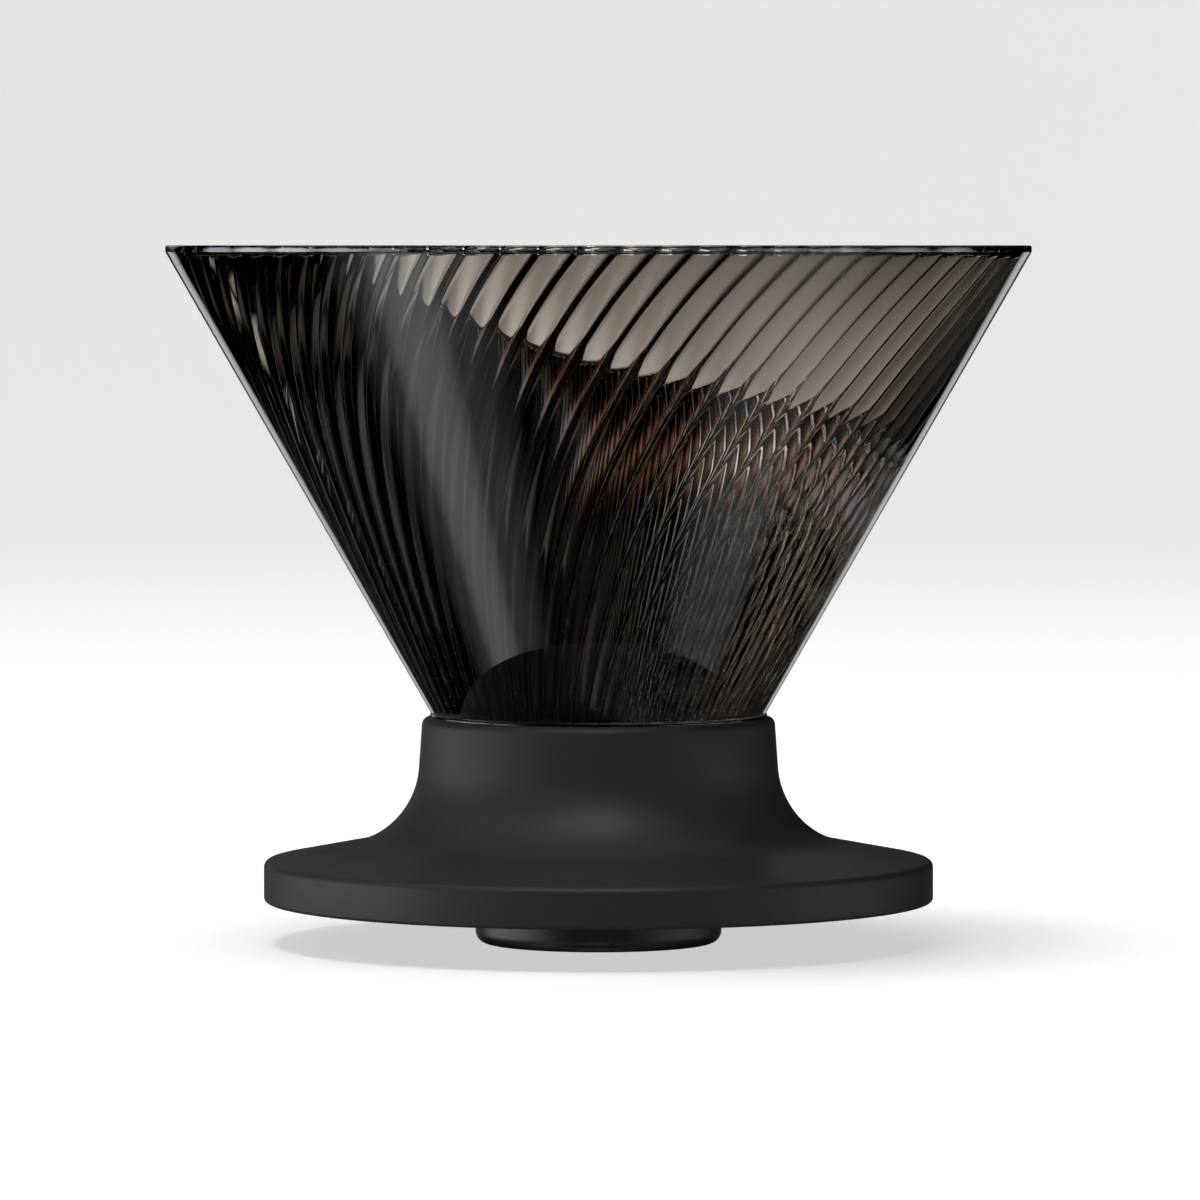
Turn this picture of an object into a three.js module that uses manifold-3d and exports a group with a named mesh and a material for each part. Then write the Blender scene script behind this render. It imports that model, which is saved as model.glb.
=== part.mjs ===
// A pour-over coffee dripper: a smoked clear cone with spiral ribs inside, screwed into a flared matt base
// that stands on a server or mug. Millimetres, +Z up. The origin is the centre of the foot, which is the
// bottom face of the centring spigot.
import * as THREE from "three";
import { mergeVertices } from "three/addons/utils/BufferGeometryUtils.js";
import Module from "manifold-3d";

const wasm = await Module();
wasm.setup();

// ---- Driving dimensions -------------------------------------------------------------------------------

const FACETS = 60; // facets of every round piece

// Heights of the main levels above the foot
const RIM_Z = 93.7;
const FLANGE_TOP_Z = 30.9; // where the cone leaves the base
const COLLAR_TOP_Z = 30.4;
const DISC_BOTTOM_Z = 5.7;

// Cone
const CONE_SLOPE = 0.5735; // radius gained per mm of height, for a 60 degree filter
const FLANGE_CONE_RADIUS = 22.5; // outside of the wall at FLANGE_TOP_Z
const CREST_WALL = 3.7; // level thickness of the wall at the crest of a rib, and at the lip
const OUTLET_Z = 12;
const RIM_BAND = 0.9; // height of the upright band round the rim
const RIM_CHAMFER = 0.3;

// Ribs inside the cone. Each one is a step up to a crest, then a flat that falls away to the next step.
const RIBS = 72;
const RIB_LOW_Z = 16;
const RIB_HIGH_Z = 92.7;
const RIB_ROWS = 9;
const RIB_RUN_OUT = 0.6; // height in which the flutes fade into the lip
const RIB_TWIST = [0.509, -0.00185, 0.000052]; // degrees per mm above the collar, per mm squared, cubed
const STEP_WIDTH = 0.1; // of a rib, as a share of its pitch
const STEP_HEIGHT = 0.62; // of a rib low down, as a share of its pitch
const STEP_FADE = [66, 96]; // heights between which the steps fall to half of that share

// Flange and threaded neck of the cone
const FLANGE_RADIUS = 22.66;
const FLANGE_BOTTOM_Z = 30.5;
const SEAT_RADIUS = 21.2; // the step that the gasket sits round
const NECK_RADIUS = 19.85;
const NECK_INNER_RADIUS = 18.1;
const NECK_BOTTOM_Z = 14.6;

// Quick thread: three lugs on the neck under three ledges in the socket
const STARTS = 3;
const LEAD = 24; // rise per turn
const LUG_RADIUS = 20.7;
const LUG_FROM = -20; // degrees along the helix
const LUG_TO = 20;
const LUG_HEIGHT = 1.8;
const LUG_Z = 17.0; // of the helix where it crosses 0 degrees
const LEDGE_RADIUS = 20.2;
const LEDGE_FROM = -24;
const LEDGE_TO = 90;
const THREAD_CLEARANCE = 0.3;

// Gasket, socket, skirt
const GASKET_BOTTOM_Z = 28.85;
const GASKET_INNER_RADIUS = 21.27;
const SOCKET_BORE = 21.05;
const SOCKET_RADIUS = 22.3;
const SOCKET_TOP_Z = 28.8;
const SOCKET_FOOT_RADIUS = 25;
const SKIRT_BORE = 22.4;
const COLLAR_RADIUS = 23.75; // outside of the collar, just under its rounded top
const COLLAR_DRAFT = 0.07; // radius gained per mm down the collar
const COLLAR_ROUND = 1.0;
const WAIST_START_RADIUS = 24.15; // where the collar turns into the concave waist
const WAIST_RADIUS = 11.4;
const DISC_SLOPE = 0.19; // fall per mm of the top of the disc
const DISC_TOP_REFERENCE = [40, 12]; // a point that the sloping top passes through
const DISC_RADIUS = 45;
const DISC_TOP_ROUND = 0.9;
const DISC_BOTTOM_ROUND = 0.5;
const SKIRT_WALL = 2.0;
const DISC_INNER_RADIUS = 42.5;

// Underside
const PLATE_BOTTOM_Z = 5.9;
const PLATE_TOP_Z = 7.9;
const PLATE_RADIUS = 42.3;
const PLATE_BORE = 17.0;
const GRIP_INNER_RADIUS = 22;
const GRIP_OUTER_RADIUS = 40;
const GRIP_BOTTOM_Z = 5.4;
const GRIP_TOP_Z = 6.7;
const FIT_GAP = 0.1;

// Centring spigot
const SPIGOT_RADIUS = 16.75;
const SPIGOT_FOOT_RADIUS = 16.55;
const SPIGOT_BORE = 13.6;
const SPIGOT_ROUND = 1.6;
const SPIGOT_FLANGE_RADIUS = 20.3;
const SPIGOT_FLANGE_TOP_Z = 9.3;

// ---- Materials ----------------------------------------------------------------------------------------

const smoked = new THREE.MeshStandardMaterial({
  color: 0x2a2623,
  roughness: 0.05,
  metalness: 0,
  transparent: true,
  opacity: 0.6,
});
const mattBlack = new THREE.MeshStandardMaterial({ color: 0x2b2b2c, roughness: 0.55, metalness: 0 });
const rigidBlack = new THREE.MeshStandardMaterial({ color: 0x121212, roughness: 0.4, metalness: 0 });
const silicone = new THREE.MeshStandardMaterial({ color: 0x1b1b1c, roughness: 0.8, metalness: 0 });

// ---- Helpers ------------------------------------------------------------------------------------------

const rad = THREE.MathUtils.degToRad;
const coneRadius = (z) => FLANGE_CONE_RADIUS + (z - FLANGE_TOP_Z) * CONE_SLOPE;
const coneHeight = (radius) => FLANGE_TOP_Z + (radius - FLANGE_CONE_RADIUS) / CONE_SLOPE;
const atAngle = (radius, angle, z) => [radius * Math.cos(angle), radius * Math.sin(angle), z];

// Points of an arc in the profile's plane, both ends included. Angles in degrees.
function arc(centreRadius, centreZ, radius, from, to, steps) {
  return Array.from({ length: steps + 1 }, (_, i) => {
    const angle = rad(from + ((to - from) * i) / steps);
    return [centreRadius + radius * Math.cos(angle), centreZ + radius * Math.sin(angle)];
  });
}

// A solid of revolution about Z. The profile runs anticlockwise as [radius, z] pairs.
function revolve(profile, closed = true) {
  const ring = closed ? [...profile, profile[0]] : profile;
  const points = ring.map(([radius, z]) => new THREE.Vector2(radius, z));
  return new THREE.LatheGeometry(points, FACETS).rotateX(Math.PI / 2);
}

function geometryOf(vertices, triangles) {
  return new THREE.BufferGeometry()
    .setAttribute("position", new THREE.Float32BufferAttribute(vertices.flat(), 3))
    .setIndex(triangles);
}

function toSolid(geometry) {
  const bare = geometry.clone();
  bare.deleteAttribute("normal");
  bare.deleteAttribute("uv");
  const merged = mergeVertices(bare, 1e-4);
  const corners = merged.index.array;
  const kept = [];
  for (let i = 0; i < corners.length; i += 3) {
    const [a, b, c] = corners.subarray(i, i + 3);
    if (a !== b && b !== c && c !== a) kept.push(a, b, c); // a profile point on the axis gives empty triangles
  }
  return new wasm.Manifold(
    new wasm.Mesh({
      numProp: 3,
      vertProperties: merged.attributes.position.array,
      triVerts: new Uint32Array(kept),
    }),
  );
}

function toGeometry(solid) {
  const mesh = solid.getMesh();
  return new THREE.BufferGeometry()
    .setAttribute("position", new THREE.BufferAttribute(mesh.vertProperties, 3))
    .setIndex(new THREE.BufferAttribute(mesh.triVerts, 1));
}

// A stack of rings of points, each ring with the same number of points, closed at both ends.
function stack(rings) {
  const count = rings[0].length;
  const triangles = [];
  for (let row = 0; row + 1 < rings.length; row++)
    for (let i = 0; i < count; i++) {
      const a = row * count + i;
      const b = row * count + ((i + 1) % count);
      triangles.push(a, b, b + count, a, b + count, a + count);
    }
  const last = (rings.length - 1) * count;
  for (let i = 1; i + 1 < count; i++) triangles.push(0, i + 1, i, last, last + i, last + i + 1);
  return geometryOf(rings.flat(), triangles);
}

// A block of the quick thread. It follows the helix, tapers to its crest, and its two ends are ramps.
function helicalBlock(rootRadius, crestRadius, helixZ, from, to, start) {
  const steps = Math.ceil((to - from) / 10);
  const rings = Array.from({ length: steps + 1 }, (_, i) => {
    const along = from + ((to - from) * i) / steps;
    const angle = rad(start + along);
    const z = helixZ + (along / 360) * LEAD;
    const half = LUG_HEIGHT * (i === 0 || i === steps ? 0.3 : 0.5);
    const section = [
      atAngle(rootRadius, angle, z - half),
      atAngle(rootRadius, angle, z + half),
      atAngle(crestRadius, angle, z + half * 0.8),
      atAngle(crestRadius, angle, z - half * 0.8),
    ];
    return crestRadius < rootRadius ? section.reverse() : section;
  });
  return toSolid(stack(rings));
}

function withThread(solid, rootRadius, crestRadius, helixZ, from, to) {
  const starts = Array.from({ length: STARTS }, (_, i) => (i * 360) / STARTS);
  const blocks = starts.map((start) => helicalBlock(rootRadius, crestRadius, helixZ, from, to, start));
  return blocks.reduce((body, block) => body.add(block), solid);
}

// ---- Cone ---------------------------------------------------------------------------------------------

// How far round a rib has turned at a height, in degrees.
function ribTurn(z) {
  const rise = z - FLANGE_TOP_Z;
  return RIB_TWIST.reduce((turn, share, i) => turn + share * rise ** (i + 1), 0);
}

// How high a rib's step is at a height, as a share of its pitch.
function stepShare(z) {
  return STEP_HEIGHT * (1 - 0.5 * THREE.MathUtils.smoothstep(z, ...STEP_FADE));
}

// One ring of the inside of the cone: each rib is the foot and the top of its step. Depth 0 leaves a plain ring.
function insideRing(z, depth, wall = CREST_WALL) {
  const crestRadius = coneRadius(z) - wall;
  const pitch = (2 * Math.PI) / RIBS;
  const footRadius = crestRadius + depth * pitch * crestRadius;
  const turn = rad(ribTurn(z)) - Math.PI / 2;
  return Array.from({ length: RIBS }, (_, i) => {
    const middle = i * pitch + turn;
    return [
      atAngle(footRadius, middle - (STEP_WIDTH / 2) * pitch, z),
      atAngle(crestRadius, middle + (STEP_WIDTH / 2) * pitch, z),
    ];
  }).flat();
}

// The space inside the cone, which runs out past both its ends.
function coneVoid() {
  const rings = [insideRing(OUTLET_Z - 1, 0), insideRing(RIB_LOW_Z - 1.5, 0)];
  for (let row = 0; row <= RIB_ROWS; row++) {
    const z = RIB_LOW_Z + ((RIB_HIGH_Z - RIB_LOW_Z) * row) / RIB_ROWS;
    rings.push(insideRing(z, stepShare(z)));
  }
  rings.push(insideRing(RIB_HIGH_Z + RIB_RUN_OUT, 0));
  rings.push(insideRing(RIM_Z - RIM_CHAMFER / 2, 0));
  rings.push(insideRing(RIM_Z + RIM_CHAMFER, 0, CREST_WALL - RIM_CHAMFER));
  return toSolid(stack(rings));
}

function cone() {
  const grooveTop = coneHeight(NECK_INNER_RADIUS);
  const rimRadius = coneRadius(RIM_Z - RIM_BAND);
  const outside = [
    [0, OUTLET_Z],
    [coneRadius(OUTLET_Z) - 0.4, OUTLET_Z],
    [coneRadius(OUTLET_Z + 0.4), OUTLET_Z + 0.4],
    [NECK_INNER_RADIUS, grooveTop],
    [NECK_INNER_RADIUS, NECK_BOTTOM_Z],
    [NECK_RADIUS, NECK_BOTTOM_Z],
    [NECK_RADIUS, coneHeight(NECK_RADIUS)],
    [SEAT_RADIUS, coneHeight(SEAT_RADIUS)],
    [SEAT_RADIUS, FLANGE_BOTTOM_Z],
    [FLANGE_RADIUS, FLANGE_BOTTOM_Z],
    [FLANGE_RADIUS, FLANGE_TOP_Z - 0.1],
    [FLANGE_CONE_RADIUS, FLANGE_TOP_Z],
    [rimRadius, RIM_Z - RIM_BAND],
    [rimRadius, RIM_Z - RIM_CHAMFER],
    [rimRadius - RIM_CHAMFER, RIM_Z],
    [0, RIM_Z],
  ];
  const body = toSolid(revolve(outside, false));
  const lugged = withThread(body, NECK_RADIUS - 0.5, LUG_RADIUS, LUG_Z, LUG_FROM, LUG_TO);
  return toGeometry(lugged.subtract(coneVoid()));
}

// ---- Gasket, between the cone's flange and the socket -------------------------------------------------

function coneGasket() {
  const top = FLANGE_BOTTOM_Z - 0.05;
  const middle = (GASKET_BOTTOM_Z + top) / 2;
  return revolve([
    [GASKET_INNER_RADIUS, GASKET_BOTTOM_Z],
    [SOCKET_RADIUS - 0.2, GASKET_BOTTOM_Z],
    [SOCKET_RADIUS, GASKET_BOTTOM_Z + 0.25],
    [SOCKET_RADIUS - 0.2, middle],
    [SOCKET_RADIUS, top - 0.25],
    [SOCKET_RADIUS - 0.2, top],
    [GASKET_INNER_RADIUS, top],
  ]);
}

// ---- Base ---------------------------------------------------------------------------------------------

// The matt outer shell: collar, waist and disc, open underneath.
function baseSkirt() {
  const collarEnd = COLLAR_TOP_Z - COLLAR_ROUND;
  const slopeAngle = THREE.MathUtils.radToDeg(Math.atan(DISC_SLOPE));
  const draftAngle = THREE.MathUtils.radToDeg(Math.atan(COLLAR_DRAFT));
  // The waist's arc touches the collar's wall and the sloping top of the disc.
  const centreRadius = WAIST_START_RADIUS + WAIST_RADIUS * Math.cos(rad(draftAngle));
  const slopeZ = (radius) => DISC_TOP_REFERENCE[1] - DISC_SLOPE * (radius - DISC_TOP_REFERENCE[0]);
  const centreZ = slopeZ(centreRadius) + WAIST_RADIUS / Math.cos(rad(slopeAngle));
  const waist = (radius, steps) =>
    arc(centreRadius, centreZ, radius, 270 - slopeAngle, 180 + draftAngle, steps);
  const innerWaist = waist(WAIST_RADIUS + SKIRT_WALL, 6).filter(([radius]) => radius > SKIRT_BORE + 0.2);
  const boreEndZ = centreZ - Math.sqrt((WAIST_RADIUS + SKIRT_WALL) ** 2 - (centreRadius - SKIRT_BORE) ** 2);
  const edge = DISC_RADIUS - DISC_TOP_ROUND;
  const edgeZ = slopeZ(edge) - DISC_TOP_ROUND;
  const foot = DISC_RADIUS - DISC_BOTTOM_ROUND;
  const outside = [
    ...arc(foot, DISC_BOTTOM_Z + DISC_BOTTOM_ROUND, DISC_BOTTOM_ROUND, 270, 360, 2),
    ...arc(edge, edgeZ, DISC_TOP_ROUND, 0, 90 - slopeAngle, 3),
    ...waist(WAIST_RADIUS, 8),
    ...arc(COLLAR_RADIUS - COLLAR_ROUND, collarEnd, COLLAR_ROUND, 0, 90, 3),
  ];
  const inside = [
    [SKIRT_BORE, COLLAR_TOP_Z - 0.2],
    [SKIRT_BORE, boreEndZ],
    ...innerWaist.reverse(),
    [DISC_INNER_RADIUS, slopeZ(DISC_INNER_RADIUS) - SKIRT_WALL],
    [DISC_INNER_RADIUS, DISC_BOTTOM_Z],
  ];
  return revolve([...outside, ...inside]);
}

// The rigid sleeve inside the collar, with the thread's ledges.
function threadedSocket() {
  const top = SOCKET_TOP_Z;
  const foot = PLATE_TOP_Z + 0.1;
  const leadIn = coneHeight(SOCKET_BORE - 0.3);
  const sleeve = revolve([
    [SOCKET_BORE, foot],
    [SOCKET_FOOT_RADIUS, foot],
    [SOCKET_FOOT_RADIUS, foot + 1.6],
    [SOCKET_RADIUS, foot + 1.6],
    [SOCKET_RADIUS, top],
    [coneRadius(top) + 0.3, top],
    [SOCKET_BORE, leadIn],
  ]);
  const ledgeZ = LUG_Z + LUG_HEIGHT + THREAD_CLEARANCE;
  const body = toSolid(sleeve);
  return toGeometry(withThread(body, SOCKET_BORE + 0.5, LEDGE_RADIUS, ledgeZ, LEDGE_FROM, LEDGE_TO));
}

// The plate that closes the skirt underneath, with a groove for the grip ring.
function basePlate() {
  return revolve([
    [PLATE_BORE, PLATE_BOTTOM_Z],
    [GRIP_INNER_RADIUS - FIT_GAP, PLATE_BOTTOM_Z],
    [GRIP_INNER_RADIUS - FIT_GAP, GRIP_TOP_Z + 0.05],
    [GRIP_OUTER_RADIUS + FIT_GAP, GRIP_TOP_Z + 0.05],
    [GRIP_OUTER_RADIUS + FIT_GAP, PLATE_BOTTOM_Z],
    [PLATE_RADIUS, PLATE_BOTTOM_Z],
    [PLATE_RADIUS, PLATE_TOP_Z],
    [PLATE_BORE, PLATE_TOP_Z],
  ]);
}

// The ring of silicone that stands on the rim of the server.
function gripRing() {
  return revolve([
    [GRIP_INNER_RADIUS + 0.3, GRIP_BOTTOM_Z],
    [GRIP_OUTER_RADIUS - 0.3, GRIP_BOTTOM_Z],
    [GRIP_OUTER_RADIUS, GRIP_BOTTOM_Z + 0.3],
    [GRIP_OUTER_RADIUS, GRIP_TOP_Z],
    [GRIP_INNER_RADIUS, GRIP_TOP_Z],
    [GRIP_INNER_RADIUS, GRIP_BOTTOM_Z + 0.3],
  ]);
}

// The ring that drops into the server's mouth. Its flange lies on top of the plate.
function centringSpigot() {
  const flangeBottom = PLATE_TOP_Z + 0.05;
  return revolve([
    [SPIGOT_BORE + 0.5, 0],
    ...arc(SPIGOT_FOOT_RADIUS - SPIGOT_ROUND, SPIGOT_ROUND, SPIGOT_ROUND, 270, 360, 4),
    [SPIGOT_RADIUS, flangeBottom],
    [SPIGOT_FLANGE_RADIUS, flangeBottom],
    [SPIGOT_FLANGE_RADIUS, SPIGOT_FLANGE_TOP_Z],
    [SPIGOT_BORE, SPIGOT_FLANGE_TOP_Z],
    [SPIGOT_BORE, 0.5],
  ]);
}

// ---- Assembly -----------------------------------------------------------------------------------------

const dripper = new THREE.Group();

function place(name, geometry, material) {
  const mesh = new THREE.Mesh(geometry, material);
  mesh.name = name;
  dripper.add(mesh);
}

place("cone", cone(), smoked);
place("cone_gasket", coneGasket(), silicone);
place("base_skirt", baseSkirt(), mattBlack);
place("threaded_socket", threadedSocket(), rigidBlack);
place("base_plate", basePlate(), rigidBlack);
place("grip_ring", gripRing(), silicone);
place("centring_spigot", centringSpigot(), rigidBlack);

export default dripper;
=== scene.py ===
"""A pour-over coffee dripper: a smoked clear cone with spiral ribs, screwed into a soft-touch matt base.

Metres, +Z up, the same frame as the CAD part. Sizes that the CAD part already has are read from its boxes.
"""

import math

import bpy
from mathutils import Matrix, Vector

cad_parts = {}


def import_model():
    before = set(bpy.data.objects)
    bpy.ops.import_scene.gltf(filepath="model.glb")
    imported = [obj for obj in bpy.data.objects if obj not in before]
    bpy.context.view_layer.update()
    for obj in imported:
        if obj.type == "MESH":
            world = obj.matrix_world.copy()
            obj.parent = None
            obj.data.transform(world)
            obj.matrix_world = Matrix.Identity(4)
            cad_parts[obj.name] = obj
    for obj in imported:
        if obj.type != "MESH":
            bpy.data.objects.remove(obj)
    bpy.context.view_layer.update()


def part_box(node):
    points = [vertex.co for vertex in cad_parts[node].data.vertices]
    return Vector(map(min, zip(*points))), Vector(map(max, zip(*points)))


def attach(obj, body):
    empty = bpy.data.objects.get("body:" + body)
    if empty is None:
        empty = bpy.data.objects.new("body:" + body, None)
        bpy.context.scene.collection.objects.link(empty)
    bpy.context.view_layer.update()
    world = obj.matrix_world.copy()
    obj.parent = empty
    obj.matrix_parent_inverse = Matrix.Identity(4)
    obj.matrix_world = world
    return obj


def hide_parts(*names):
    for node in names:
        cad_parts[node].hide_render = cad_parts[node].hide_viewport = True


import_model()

MM = 0.001
SEGMENTS = 256

# ---- Levels and radii taken from the CAD part's boxes ----------------------------------------------------


def low(node):
    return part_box(node)[0].z / MM


def high(node):
    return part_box(node)[1].z / MM


def radius(node):
    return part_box(node)[1].x / MM


RIM_Z = high("cone")
RIM_RADIUS = radius("cone")
OUTLET_Z = low("cone")
COLLAR_TOP_Z = high("base_skirt")
DISC_BOTTOM_Z = low("base_skirt")
DISC_RADIUS = radius("base_skirt")

# ---- Dimensions in millimetres ---------------------------------------------------------------------------

# Cone
CONE_SLOPE = 0.5735
FLANGE_TOP_Z = 30.9
FLANGE_BOTTOM_Z = 30.5
FLANGE_RADIUS = 22.66
FLANGE_CONE_RADIUS = 22.5
CREST_WALL = 3.7  # level thickness of the wall at the crests of the ribs and at the lip
RIM_BAND = 0.9  # height of the upright band round the rim, its round included
RIM_ROUND = 0.25
RIBS = 72
RIB_TWIST = (0.509, -0.00185, 0.000052)  # degrees per mm of height above the collar, per mm squared, cubed
STEP_WIDTH = 0.10  # of a rib, as a share of the pitch
STEP_HEIGHT = 0.62  # of a rib low down, as a share of the pitch
STEP_FADE = (66, 96)  # heights between which the steps fall to half of that share
STEP_ROUND = 0.14  # how far the rounds at the foot and the crest of a step reach
FLUTE_HOLLOW = 0.15  # how hollow the flat between two steps is: 0 is straight
FLUTE_END_Z = RIM_Z - 0.45
FLUTE_END_RAMP = 0.2
RIB_LOW_Z = 14.5

# Neck and quick thread
SEAT_RADIUS = 21.2
NECK_RADIUS = 19.85
NECK_INNER_RADIUS = 18.1
NECK_BOTTOM_Z = 14.6
STARTS = 3
LEAD = 24
LUG_RADIUS = 20.7
LUG_SPAN = (-20, 20)
LUG_HEIGHT = 1.8
LUG_Z = 17.0
LEDGE_RADIUS = 20.2
LEDGE_SPAN = (-24, 90)
LEDGE_Z = 19.1

# Base
COLLAR_RADIUS = 23.75
COLLAR_DRAFT = 0.07
COLLAR_ROUND = 1.0
WAIST_START_RADIUS = 24.15
WAIST_RADIUS = 11.4
DISC_SLOPE = 0.19
DISC_TOP_REFERENCE = (40, 12)
DISC_TOP_ROUND = 0.9
DISC_BOTTOM_ROUND = 0.5
SKIRT_WALL = 2.0
SKIRT_BORE = 22.4
DISC_INNER_RADIUS = 42.5
SOCKET_BORE = 21.05
SOCKET_RADIUS = 22.3
SOCKET_FLANGE = 1.6  # thickness of the socket's foot

# Underside
PLATE_BORE = 17.0
GRIP_INNER_RADIUS = 22
GRIP_GROOVES = 4
GROOVE_RADIUS = 0.35
FIT_GAP = 0.1

# Centring spigot
SPIGOT_BORE = 13.6
SPIGOT_RADIUS = 16.75
SPIGOT_FOOT_RADIUS = 16.55
SPIGOT_ROUND = 1.6

# ---- Mesh helpers ----------------------------------------------------------------------------------------


def arc(centre_radius, centre_z, size, start, end, steps):
    """Profile points of an arc, both ends included, angles in degrees."""
    angles = [math.radians(start + (end - start) * i / steps) for i in range(steps + 1)]
    return [(centre_radius + size * math.cos(a), centre_z + size * math.sin(a)) for a in angles]


def between(start, end, steps):
    """Profile points along a straight line, without its end."""
    return [
        (start[0] + (end[0] - start[0]) * i / steps, start[1] + (end[1] - start[1]) * i / steps)
        for i in range(steps)
    ]


def make_object(name, vertices, faces, sharp=35):
    mesh = bpy.data.meshes.new(name)
    mesh.from_pydata([(x * MM, y * MM, z * MM) for x, y, z in vertices], [], faces)
    mesh.validate()
    mesh.shade_smooth()
    mesh.set_sharp_from_angle(angle=math.radians(sharp))
    thing = bpy.data.objects.new(name, mesh)
    bpy.context.scene.collection.objects.link(thing)
    return thing


def grid_faces(columns, rows, wrap_columns=True, wrap_rows=True):
    """Quads over a grid, which can close on itself either way: vertex = column * rows + row."""
    faces = []
    for column in range(columns if wrap_columns else columns - 1):
        here = column * rows
        there = (column + 1) % columns * rows
        for row in range(rows if wrap_rows else rows - 1):
            above = (row + 1) % rows
            faces.append((here + row, there + row, there + above, here + above))
    return faces


def turned(profile, segments):
    """The profile's points repeated round the Z axis, column by column."""
    vertices = []
    for column in range(segments):
        angle = 2 * math.pi * column / segments
        vertices += [(r * math.cos(angle), r * math.sin(angle), z) for r, z in profile]
    return vertices


def lathe(name, profile):
    """A ring-shaped solid. The profile is a closed loop of (radius, z), anticlockwise."""
    return make_object(name, turned(profile, SEGMENTS), grid_faces(SEGMENTS, len(profile)))


def thread_block(root, crest, helix_z, span, start):
    """Vertices and faces of one block of the quick thread, which follows the helix and has ramped ends."""
    steps = round((span[1] - span[0]) / 3)
    vertices = []
    for i in range(steps + 1):
        along = span[0] + (span[1] - span[0]) * i / steps
        angle = math.radians(start + along)
        z = helix_z + along / 360 * LEAD
        ramp = min(1, 0.3 + min(i, steps - i) * 0.25)
        half = LUG_HEIGHT / 2 * ramp
        section = [(root, z - half), (crest, z - half * 0.8), (crest, z + half * 0.8), (root, z + half)]
        if crest < root:
            section.reverse()
        vertices += [(r * math.cos(angle), r * math.sin(angle), height) for r, height in section]
    faces = grid_faces(steps + 1, 4, wrap_columns=False)
    last = steps * 4
    faces.append((0, 1, 2, 3))
    faces.append((last + 3, last + 2, last + 1, last))
    return vertices, faces


def add_thread(vertices, faces, root, crest, helix_z, span):
    for i in range(STARTS):
        block_vertices, block_faces = thread_block(root, crest, helix_z, span, i * 360 / STARTS)
        offset = len(vertices)
        vertices += block_vertices
        faces += [tuple(offset + corner for corner in face) for face in block_faces]


# ---- Materials -------------------------------------------------------------------------------------------

NOISE_LOW = 0.3  # the noise textures keep between these two values nearly everywhere
NOISE_HIGH = 0.7


def new_material(name):
    material = bpy.data.materials.new(name)
    material.use_nodes = True
    nodes = material.node_tree.nodes
    return material, nodes, material.node_tree.links, nodes["Principled BSDF"]


def noise(nodes, links, scale, detail):
    """A noise texture in the object's own space. scale is in features per metre."""
    place = nodes.new("ShaderNodeTexCoord")
    texture = nodes.new("ShaderNodeTexNoise")
    texture.inputs["Scale"].default_value = scale
    texture.inputs["Detail"].default_value = detail
    links.new(place.outputs["Object"], texture.inputs["Vector"])
    return texture.outputs["Fac"]


def spread(nodes, links, value, low_end, high_end):
    """Maps a noise value onto a range."""
    remap = nodes.new("ShaderNodeMapRange")
    remap.inputs["From Min"].default_value = NOISE_LOW
    remap.inputs["From Max"].default_value = NOISE_HIGH
    remap.inputs["To Min"].default_value = low_end
    remap.inputs["To Max"].default_value = high_end
    links.new(value, remap.inputs["Value"])
    return remap.outputs["Result"]


def bump(nodes, links, height, distance, strength):
    """Surface grain: distance is its height in metres."""
    node = nodes.new("ShaderNodeBump")
    node.inputs["Distance"].default_value = distance
    node.inputs["Strength"].default_value = strength
    links.new(height, node.inputs["Height"])
    return node.outputs["Normal"]


def colour_between(nodes, links, value, dark, light):
    """Maps a noise value onto the shades between two colours."""
    ramp = nodes.new("ShaderNodeValToRGB")
    ramp.color_ramp.elements[0].position = NOISE_LOW
    ramp.color_ramp.elements[0].color = (*dark, 1)
    ramp.color_ramp.elements[1].position = NOISE_HIGH
    ramp.color_ramp.elements[1].color = (*light, 1)
    links.new(value, ramp.inputs["Fac"])
    return ramp.outputs["Color"]


def smoked_clear():
    """Clear plastic, tinted through its thickness, with faint moulding waves and handling smudges."""
    material, nodes, links, shader = new_material("smoked_clear")
    shader.inputs["Base Color"].default_value = (1, 1, 1, 1)
    shader.inputs["Transmission Weight"].default_value = 1.0
    shader.inputs["IOR"].default_value = 1.57
    smudges = noise(nodes, links, 60, 4)
    links.new(spread(nodes, links, smudges, 0.0, 0.03), shader.inputs["Roughness"])
    waves = noise(nodes, links, 90, 1)
    links.new(bump(nodes, links, waves, 0.0004, 0.02), shader.inputs["Normal"])
    tint = nodes.new("ShaderNodeVolumeAbsorption")
    tint.inputs["Color"].default_value = (0.6, 0.565, 0.53, 1)
    tint.inputs["Density"].default_value = 700
    links.new(tint.outputs["Volume"], nodes["Material Output"].inputs["Volume"])
    return material


def soft_touch_black():
    """Matt soft-touch coating: a fine grain and slightly polished, slightly dusty patches."""
    material, nodes, links, shader = new_material("soft_touch_black")
    patches = noise(nodes, links, 45, 4)
    grain = noise(nodes, links, 5000, 2)
    shade = colour_between(nodes, links, patches, (0.03, 0.03, 0.031), (0.038, 0.038, 0.039))
    links.new(shade, shader.inputs["Base Color"])
    links.new(spread(nodes, links, patches, 0.62, 0.52), shader.inputs["Roughness"])
    links.new(bump(nodes, links, grain, 0.00004, 0.35), shader.inputs["Normal"])
    shader.inputs["Specular IOR Level"].default_value = 0.45
    return material


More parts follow.
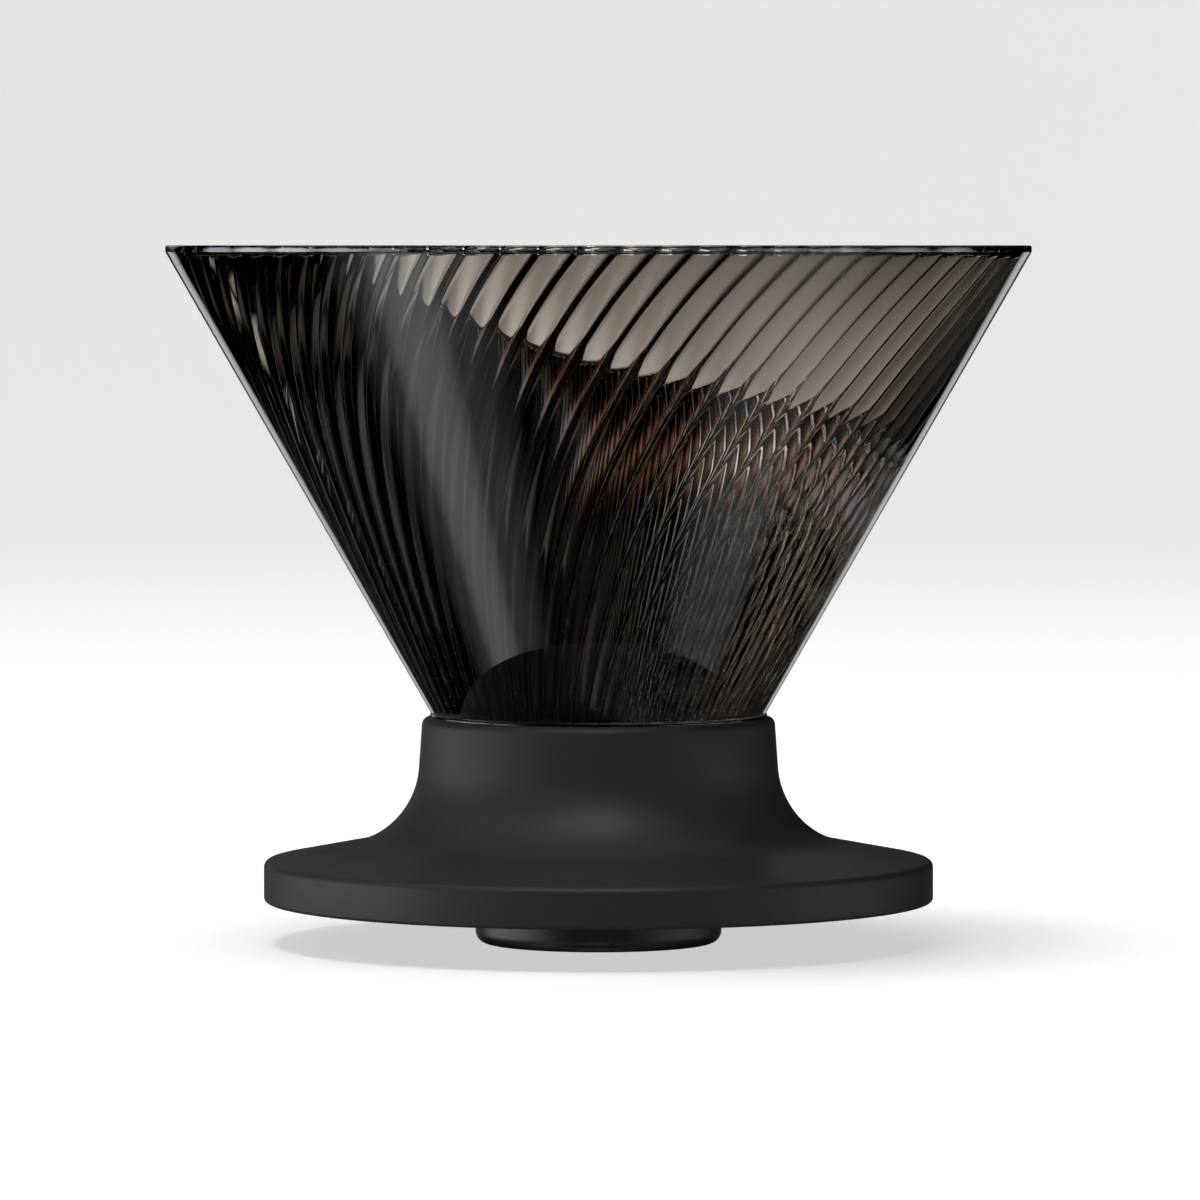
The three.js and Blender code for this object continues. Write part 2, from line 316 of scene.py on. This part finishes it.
def rigid_black():
    """Moulded black plastic with a spark-eroded satin surface."""
    material, nodes, links, shader = new_material("rigid_black")
    patches = noise(nodes, links, 80, 4)
    grain = noise(nodes, links, 2600, 3)
    shade = colour_between(nodes, links, patches, (0.006, 0.006, 0.006), (0.011, 0.011, 0.011))
    links.new(shade, shader.inputs["Base Color"])
    links.new(spread(nodes, links, patches, 0.36, 0.5), shader.inputs["Roughness"])
    links.new(bump(nodes, links, grain, 0.00005, 0.3), shader.inputs["Normal"])
    return material


def silicone():
    """Black silicone rubber with a little dust on it."""
    material, nodes, links, shader = new_material("silicone")
    dust = noise(nodes, links, 900, 6)
    patches = noise(nodes, links, 70, 3)
    shade = colour_between(nodes, links, dust, (0.012, 0.012, 0.012), (0.022, 0.022, 0.023))
    links.new(shade, shader.inputs["Base Color"])
    links.new(spread(nodes, links, patches, 0.7, 0.85), shader.inputs["Roughness"])
    links.new(bump(nodes, links, dust, 0.00004, 0.3), shader.inputs["Normal"])
    return material


# ---- Cone ------------------------------------------------------------------------------------------------


def cone_radius(z):
    return FLANGE_CONE_RADIUS + (z - FLANGE_TOP_Z) * CONE_SLOPE


def cone_height(r):
    return FLANGE_TOP_Z + (r - FLANGE_CONE_RADIUS) / CONE_SLOPE


def smooth(x):
    x = min(1, max(0, x))
    return x * x * (3 - 2 * x)


def rib_turn(z):
    """How far round a rib has turned at a height, in degrees."""
    rise = z - FLANGE_TOP_Z
    return sum(share * rise**power for power, share in enumerate(RIB_TWIST, 1))


def rib_pitch(z):
    """Distance from one rib to the next, round the inside of the wall."""
    return 2 * math.pi / RIBS * (cone_radius(z) - CREST_WALL)


def step_depth(z):
    """How high a step is, in mm. Steps are lower near the rim and run out at the outlet."""
    share = STEP_HEIGHT * (1 - 0.5 * smooth((z - STEP_FADE[0]) / (STEP_FADE[1] - STEP_FADE[0])))
    return share * rib_pitch(z) * smooth((z - RIB_LOW_Z) / 1.5) * smooth((FLUTE_END_Z - z) / FLUTE_END_RAMP)


def rounded(before, corner, after):
    """Five points of a curve that rounds a corner."""
    points = []
    for step in range(5):
        t = step / 4
        shares = ((1 - t) ** 2, 2 * t * (1 - t), t * t)
        points.append([sum(s * x for s, x in zip(shares, xs)) for xs in zip(before, corner, after)])
    return points


def rib_section(z):
    """One rib of the inside of the wall: distances round the wall in mm and depths below the crests."""
    pitch = rib_pitch(z)
    depth = step_depth(z)
    half_step = STEP_WIDTH / 2 * pitch
    flat = pitch - 2 * half_step

    def on_flat(share):
        return (half_step + flat * share, depth * (share + FLUTE_HOLLOW * share * (1 - share)))

    reach = STEP_ROUND / flat
    x, y = on_flat(1 - reach)
    face = [(half_step * (2 * share - 1), depth * (1 - share)) for share in (0.12, 0.88)]
    foot = rounded((x - pitch, y), (-half_step, depth), face[0])
    crest = rounded(face[1], (half_step, 0), on_flat(reach))
    return foot + crest + [on_flat(share) for share in (0.2, 0.4, 0.6, 0.8)]


def inside_levels():
    """Heights of the mesh rows inside the cone, close together where the flutes end."""
    body = [RIB_LOW_Z + 2 + (FLUTE_END_Z - 2.4 - RIB_LOW_Z) * i / 70 for i in range(70)]
    top = [FLUTE_END_Z - drop for drop in (1.2, 0.8, 0.5, 0.3, 0.2, 0.17, 0.13, 0.1, 0.07, 0.03, 0)]
    return [OUTLET_Z + 0.3, RIB_LOW_Z - 0.5, RIB_LOW_Z, RIB_LOW_Z + 0.7, RIB_LOW_Z + 1.4] + body + top


def outside_profile():
    """From the rim's top, down the outside, round the neck, to the outlet's inner edge."""
    band = RIM_Z - RIM_BAND
    rim = arc(RIM_RADIUS - RIM_ROUND, RIM_Z - RIM_ROUND, RIM_ROUND, 90, 0, 5)
    rim += [(RIM_RADIUS, band + 0.05), (RIM_RADIUS - 0.01, band)]
    wall = between((RIM_RADIUS - 0.04, band - 0.05), (FLANGE_CONE_RADIUS, FLANGE_TOP_Z), 40)
    neck = [
        (FLANGE_CONE_RADIUS, FLANGE_TOP_Z),
        (FLANGE_RADIUS - 0.08, FLANGE_TOP_Z - 0.03),
        (FLANGE_RADIUS, FLANGE_TOP_Z - 0.1),
        (FLANGE_RADIUS, FLANGE_BOTTOM_Z),
        (SEAT_RADIUS, FLANGE_BOTTOM_Z),
        (SEAT_RADIUS, cone_height(SEAT_RADIUS)),
        (NECK_RADIUS, cone_height(NECK_RADIUS)),
        (NECK_RADIUS, NECK_BOTTOM_Z + 0.3),
        (NECK_RADIUS - 0.3, NECK_BOTTOM_Z),
        (NECK_INNER_RADIUS + 0.3, NECK_BOTTOM_Z),
        (NECK_INNER_RADIUS, NECK_BOTTOM_Z + 0.3),
        (NECK_INNER_RADIUS, cone_height(NECK_INNER_RADIUS)),
    ]
    funnel = between(neck[-1], (cone_radius(OUTLET_Z + 0.4), OUTLET_Z + 0.4), 10)[1:]
    outlet = [(cone_radius(OUTLET_Z + 0.4), OUTLET_Z + 0.4), (cone_radius(OUTLET_Z) - 0.4, OUTLET_Z)]
    return rim + wall + neck + funnel + outlet


def cone():
    """One closed grid: columns follow the ribs, inside and out, and rows go round the wall."""
    outside = outside_profile()
    inner_rim = cone_radius(RIM_Z) - CREST_WALL
    rim_inside = arc(inner_rim + RIM_ROUND, RIM_Z - RIM_ROUND, RIM_ROUND, 180, 95, 5)
    outlet_inside = (cone_radius(OUTLET_Z) - CREST_WALL + 0.3, OUTLET_Z)
    levels = inside_levels()
    plain = [x / rib_pitch(RIM_Z) for x, _ in rib_section(RIM_Z)]
    columns = len(plain)
    sections = [rib_section(z) for z in levels]
    rows = len(outside) + 1 + len(levels) + len(rim_inside)
    vertices = []

    def add(r, z, rib, share):
        angle = math.radians(-90 + (rib + share) * 360 / RIBS + rib_turn(z))
        vertices.append((r * math.cos(angle), r * math.sin(angle), z))

    for rib in range(RIBS):
        for column in range(columns):
            for r, z in outside + [outlet_inside]:
                add(r, z, rib, plain[column])
            for z, section in zip(levels, sections):
                x, cut = section[column]
                add(cone_radius(z) - CREST_WALL + cut, z, rib, x / rib_pitch(z))
            for r, z in rim_inside:
                add(r, z, rib, plain[column])
    faces = [tuple(reversed(face)) for face in grid_faces(RIBS * columns, rows)]
    add_thread(vertices, faces, NECK_RADIUS - 0.2, LUG_RADIUS, LUG_Z, LUG_SPAN)
    return make_object("cone_visual", vertices, faces, sharp=50)


# ---- Gasket and base -------------------------------------------------------------------------------------


def cone_gasket():
    """A ring with two soft beads on its outside."""
    bottom = low("cone_gasket")
    top = high("cone_gasket")
    inner = SEAT_RADIUS + 0.07
    outer = SOCKET_RADIUS
    bead = (top - bottom) / 4
    beads = arc(outer - bead, bottom + bead, bead, -90, 60, 6)
    beads += arc(outer - bead, top - bead, bead, -60, 90, 6)
    return lathe("cone_gasket_visual", beads + [(inner, top), (inner, bottom)])


def disc_top(r):
    return DISC_TOP_REFERENCE[1] - DISC_SLOPE * (r - DISC_TOP_REFERENCE[0])


def base_skirt():
    """Collar, waist and disc in one shell, open underneath."""
    slope = math.degrees(math.atan(DISC_SLOPE))
    draft = math.degrees(math.atan(COLLAR_DRAFT))
    centre_radius = WAIST_START_RADIUS + WAIST_RADIUS * math.cos(math.radians(draft))
    centre_z = disc_top(centre_radius) + WAIST_RADIUS / math.cos(math.radians(slope))
    edge = DISC_RADIUS - DISC_TOP_ROUND
    edge_z = disc_top(edge) - DISC_TOP_ROUND
    foot = DISC_RADIUS - DISC_BOTTOM_ROUND
    under_edge_z = disc_top(DISC_INNER_RADIUS) - SKIRT_WALL
    inner_waist = arc(centre_radius, centre_z, WAIST_RADIUS + SKIRT_WALL, 180 + draft + 8, 270 - slope, 16)
    inner_waist = [(max(r, SKIRT_BORE), z) for r, z in inner_waist]
    profile = arc(foot, DISC_BOTTOM_Z + DISC_BOTTOM_ROUND, DISC_BOTTOM_ROUND, 270, 360, 6)
    profile += arc(edge, edge_z, DISC_TOP_ROUND, 0, 90 - slope, 8)
    profile += arc(centre_radius, centre_z, WAIST_RADIUS, 270 - slope, 180 + draft, 40)
    profile += arc(COLLAR_RADIUS - COLLAR_ROUND, COLLAR_TOP_Z - COLLAR_ROUND, COLLAR_ROUND, 0, 90, 8)
    profile += [(SKIRT_BORE, COLLAR_TOP_Z - 0.2)]
    profile += inner_waist
    profile += [(DISC_INNER_RADIUS, under_edge_z), (DISC_INNER_RADIUS, DISC_BOTTOM_Z)]
    return lathe("base_skirt_visual", profile)


def threaded_socket():
    """The sleeve in the collar, and the ledges of its thread."""
    foot = low("threaded_socket")
    top = high("threaded_socket")
    outer = radius("threaded_socket")
    lead_in = cone_height(SOCKET_BORE - 0.3)
    profile = [
        (SOCKET_BORE, foot),
        (outer - 0.3, foot),
        (outer, foot + 0.3),
        (outer, foot + SOCKET_FLANGE - 0.3),
        (outer - 0.3, foot + SOCKET_FLANGE),
        (SOCKET_RADIUS + 0.3, foot + SOCKET_FLANGE),
        (SOCKET_RADIUS, foot + SOCKET_FLANGE + 0.3),
        (SOCKET_RADIUS, top),
        (cone_radius(top) + 0.3, top),
        (SOCKET_BORE, lead_in),
    ]
    sleeve = lathe("threaded_socket_visual", profile)
    vertices = []
    faces = []
    add_thread(vertices, faces, SOCKET_BORE + 0.2, LEDGE_RADIUS, LEDGE_Z, LEDGE_SPAN)
    ledges = make_object("socket_thread_visual", vertices, faces)
    return sleeve, ledges


def base_plate():
    """A flat ring with a groove for the grip ring in its underside."""
    bottom = low("base_plate")
    top = high("base_plate")
    outer = radius("base_plate")
    groove_top = high("grip_ring") + 0.05
    groove_outer = radius("grip_ring") + FIT_GAP
    profile = [
        (PLATE_BORE, bottom + 0.3),
        (PLATE_BORE + 0.3, bottom),
        (GRIP_INNER_RADIUS - FIT_GAP, bottom),
        (GRIP_INNER_RADIUS - FIT_GAP, groove_top),
        (groove_outer, groove_top),
        (groove_outer, bottom),
        (outer - 0.3, bottom),
        (outer, bottom + 0.3),
        (outer, top),
        (PLATE_BORE, top),
    ]
    return lathe("base_plate_visual", profile)


def grip_ring():
    """A flat ring with shallow concentric grooves."""
    bottom = low("grip_ring")
    top = high("grip_ring")
    outer = radius("grip_ring")
    inner = GRIP_INNER_RADIUS
    pitch = (outer - inner) / (GRIP_GROOVES + 1)
    profile = [(outer, bottom + 0.3), (outer, top), (inner, top), (inner, bottom + 0.3)]
    profile += [(inner + 0.3, bottom)]
    for i in range(1, GRIP_GROOVES + 1):
        middle = inner + pitch * i
        profile += [(middle - 0.5, bottom)]
        profile += arc(middle, bottom, GROOVE_RADIUS, 180, 0, 6)
        profile += [(middle + 0.5, bottom)]
    profile += [(outer - 0.3, bottom)]
    return lathe("grip_ring_visual", profile)


def centring_spigot():
    """A short tube with a rounded foot, and a flange that lies on the plate."""
    bore = SPIGOT_BORE
    flange = radius("centring_spigot")
    top = high("centring_spigot")
    under = high("base_plate") + 0.05
    profile = [(bore + 0.5, 0)]
    profile += arc(SPIGOT_FOOT_RADIUS - SPIGOT_ROUND, SPIGOT_ROUND, SPIGOT_ROUND, 270, 360, 10)
    profile += [(SPIGOT_RADIUS, under), (flange, under), (flange, top - 0.3), (flange - 0.3, top)]
    profile += [(bore + 0.3, top), (bore, top - 0.3), (bore, 0.5)]
    return lathe("centring_spigot_visual", profile)


def build_object():
    clear = smoked_clear()
    matt = soft_touch_black()
    rigid = rigid_black()
    rubber = silicone()
    sleeve, ledges = threaded_socket()
    pieces = [
        (cone(), "cone", "cone", clear, "smoked_clear"),
        (cone_gasket(), "cone_gasket", "lifting_gasket", rubber, "silicone"),
        (base_skirt(), "base_skirt", "base", matt, "matt_base"),
        (sleeve, "threaded_socket", "base", rigid, "rigid_black"),
        (ledges, "threaded_socket", "base", rigid, "rigid_black"),
        (base_plate(), "base_plate", "base", rigid, "rigid_black"),
        (grip_ring(), "grip_ring", "base", rubber, "silicone"),
        (centring_spigot(), "centring_spigot", "base", rigid, "rigid_black"),
    ]
    for piece, node, body, material, slot in pieces:
        piece.data.materials.append(material)
        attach(piece, body)
        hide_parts(node)


# ---- Stage -----------------------------------------------------------------------------------------------

FLOOR_RADIUS = 1400
FLOOR_SWEEP = 1200  # radius of the curve from the floor to the backdrop
BACKDROP_TOP_Z = 3000
FLOOR_SEGMENTS = 96


def pale_floor():
    """A floor that curves up into a round backdrop and gives off light of its own.

    Only the camera sees it. What the object reflects, and what shows through it, is the dark world instead.
    """
    profile = [(0.5, 0)] + [(r, 0) for r in (200, 500, 900, FLOOR_RADIUS)]
    profile += arc(FLOOR_RADIUS, FLOOR_SWEEP, FLOOR_SWEEP, -84, 0, 14)
    profile += [(FLOOR_RADIUS + FLOOR_SWEEP, BACKDROP_TOP_Z)]
    rows = len(profile)
    faces = grid_faces(FLOOR_SEGMENTS, rows, wrap_rows=False)
    faces.append(tuple(column * rows for column in range(FLOOR_SEGMENTS)))
    floor = make_object("floor", turned(profile, FLOOR_SEGMENTS), faces)
    floor.location.z = -0.05 * MM
    floor.visible_glossy = False
    floor.visible_transmission = False
    floor.visible_diffuse = False
    floor.visible_shadow = False
    material, nodes, links, shader = new_material("pale_floor")
    shade = colour_between(nodes, links, noise(nodes, links, 6, 2), (0.86, 0.86, 0.86), (0.88, 0.88, 0.88))
    links.new(shade, shader.inputs["Base Color"])
    shader.inputs["Roughness"].default_value = 0.9
    shader.inputs["Specular IOR Level"].default_value = 0.1
    shader.inputs["Emission Color"].default_value = (1, 1, 1, 1)
    shader.inputs["Emission Strength"].default_value = 0.58
    floor.data.materials.append(material)


def hang(name, data, place, target):
    """Puts a light or camera at a place, in metres, and turns it to a target."""
    thing = bpy.data.objects.new(name, data)
    thing.location = place
    thing.rotation_mode = "QUATERNION"
    thing.rotation_quaternion = (Vector(target) - Vector(place)).to_track_quat("-Z", "Y")
    bpy.context.scene.collection.objects.link(thing)
    return thing


def top_softbox():
    """A square softbox a little to the left above the object."""
    data = bpy.data.lights.new("top", "AREA")
    data.shape = "RECTANGLE"
    data.size = 0.6
    data.size_y = 0.6
    data.energy = 8
    hang("top", data, (-0.1, 0, 1.2), (0, 0, 0.05)).visible_camera = False


def front_lamp():
    """A lamp with a snoot: a soft-edged beam of a few degrees, from the front and above onto the waist."""
    data = bpy.data.lights.new("front", "SPOT")
    data.spot_size = math.radians(3.8)
    data.spot_blend = 1.0
    data.shadow_soft_size = 0.02
    data.energy = 15
    hang("front", data, (-0.05, -0.55, 0.9), (-0.003, -0.029, 0.014))


def direction(azimuth, elevation):
    """A unit vector. Azimuth 0 is straight behind the object and 90 to its right."""
    a = math.radians(azimuth)
    e = math.radians(elevation)
    return (math.sin(a) * math.cos(e), math.cos(a) * math.cos(e), math.sin(e))


WHITE = (1.0, 0.99, 0.97)
WARM = (1.0, 0.95, 0.88)
COOL = (0.88, 0.95, 1.0)
AMBER = (1.0, 0.5, 0.22)
ORANGE = (1.0, 0.3, 0.06)
BLUE = (0.0, 0.08, 0.85)

# Soft pools of light in the dark studio: azimuth, elevation, radius in degrees, strength, colour.
# Most were fitted to the photograph's front view. The ones straight below and low on the camera's side
# keep the cone from going black from above and from behind.
WASHES = [
    # Behind the object, seen through both walls of the cone
    (-23, 7, 9, 0.45, WARM),
    (-15, 9, 9, 0.38, WARM),
    (-7, 12, 8, 0.04, WARM),
    (-17, 18, 9, 0.06, WARM),
    (-18, 7, 13, 0.04, AMBER),
    # A small one in three colours, a stand-in for the dispersion that the renderer doesn't have
    (3, 26, 5, 0.68, WHITE),
    (1, 24, 5, 0.26, ORANGE),
    (5, 28, 5, 0.6, BLUE),
    # High behind and high in front, for the top of the disc
    (0, 42, 16, 1.0, WHITE),
    (-165, 66, 12, 3.5, WHITE),
    # Low at both sides, mirrored in the outside of the cone
    (-107, -49, 10, 1.0, COOL),
    (-110, -50, 22, 0.45, COOL),
    (107, -47, 20, 0.38, WHITE),
    # Straight below, seen through the cone from above
    (0, -86, 22, 0.45, WHITE),
    # Low on the camera's side, seen through the cone from behind
    (180, -28, 17, 1.1, WHITE),
    (-137, -26, 16, 0.8, WHITE),
    (137, -26, 16, 0.6, WHITE),
    # Low behind, for the light edges of the cone's outline
    (-15, -9, 7, 0.8, WHITE),
    (15, -9, 7, 0.8, WHITE),
    # At both sides, level with the rim, for its upright band
    (-60, -3, 10, 3.0, COOL),
    (-76, -3, 10, 6.0, COOL),
    (-92, -3, 10, 8.0, COOL),
    (-108, -3, 10, 6.0, COOL),
    (-121, -3, 10, 3.0, COOL),
    (72, -3, 10, 2.0, WHITE),
    (92, -3, 11, 2.5, WHITE),
    (112, -3, 11, 2.8, WHITE),
    (130, -3, 10, 1.8, WHITE),
    # High at both sides, for the collar and the waist
    (-90, 45, 26, 0.75, WHITE),
    (90, 45, 26, 0.2, WHITE),
]


def add_wash(nodes, links, place, azimuth, elevation, spread_degrees, strength, colour):
    """The light of one pool as a colour: full at its middle, nothing at its radius."""
    towards = nodes.new("ShaderNodeVectorMath")
    towards.operation = "DOT_PRODUCT"
    towards.inputs[1].default_value = direction(azimuth, elevation)
    links.new(place, towards.inputs[0])
    fall = nodes.new("ShaderNodeMapRange")
    fall.interpolation_type = "SMOOTHSTEP"
    fall.inputs["From Min"].default_value = math.cos(math.radians(spread_degrees))
    fall.inputs["From Max"].default_value = math.cos(math.radians(spread_degrees * 0.1))
    fall.inputs["To Max"].default_value = strength
    links.new(towards.outputs["Value"], fall.inputs["Value"])
    light = nodes.new("ShaderNodeVectorMath")
    light.operation = "SCALE"
    light.inputs[0].default_value = colour
    links.new(fall.outputs["Result"], light.inputs["Scale"])
    return light.outputs["Vector"]


def world():
    """A dark studio with soft pools of light. The camera itself sees only the floor and its backdrop."""
    scene = bpy.context.scene
    scene.world = bpy.data.worlds.new("studio")
    scene.world.use_nodes = True
    scene.view_settings.view_transform = "Standard"
    nodes = scene.world.node_tree.nodes
    links = scene.world.node_tree.links
    place = nodes.new("ShaderNodeTexCoord").outputs["Generated"]
    total = None
    for wash in WASHES:
        light = add_wash(nodes, links, place, *wash)
        if total is None:
            total = light
            continue
        add = nodes.new("ShaderNodeVectorMath")
        links.new(total, add.inputs[0])
        links.new(light, add.inputs[1])
        total = add.outputs["Vector"]
    links.new(total, nodes["Background"].inputs["Color"])


def camera():
    """A long lens in front of the object, level with its rim, that looks slightly down."""
    data = bpy.data.cameras.new("camera")
    data.sensor_width = 36
    data.lens = 223.5
    data.clip_end = 20
    bpy.context.scene.camera = hang("camera", data, (0.0002, -1.0, 0.0935), (0.0002, 0, 0.0461))


build_object()
pale_floor()
top_softbox()
front_lamp()
world()
camera()
